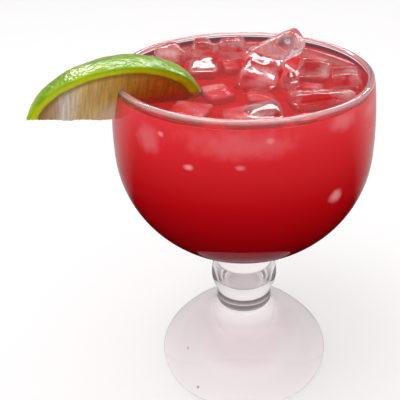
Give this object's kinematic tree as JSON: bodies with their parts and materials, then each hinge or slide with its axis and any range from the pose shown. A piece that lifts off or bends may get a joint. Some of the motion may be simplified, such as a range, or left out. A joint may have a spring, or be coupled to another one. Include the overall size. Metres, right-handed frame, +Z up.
{
  "type": "iced margarita",
  "caption": "Red margarita over clear ice cubes in a footed schooner glass, with a lime wedge slit over the rim.",
  "frame": {"origin": "middle of the underside of the glass's foot, on the surface it stands on", "axes": "+Z up along the glass's axis; the lime wedge hangs over the rim on the -X side, turned 22 degrees towards -Y"},
  "size_m": [0.138, 0.1136, 0.173],
  "materials": {
    "clear_glass": "clear pressed soda-lime glass, fire-polished",
    "red_margarita": "cloudy red drink, clear enough to show the ice just below its surface",
    "ice": "clear melting ice with rounded edges",
    "lime": "waxy green rind with pores, wet tan flesh on the cut faces"
  },
  "bodies": {
    "root": {"goblet": "clear_glass", "drink": "red_margarita", "ice_tall": "ice", "ice_middle": "ice", "ice_right": "ice", "ice_wall": "ice", "ice_back": "ice", "ice_back_left": "ice", "ice_left": "ice", "ice_front": "ice", "ice_slab": "ice", "ice_behind_lime": "ice", "lime_wedge": "lime"}
  },
  "joints": []
}
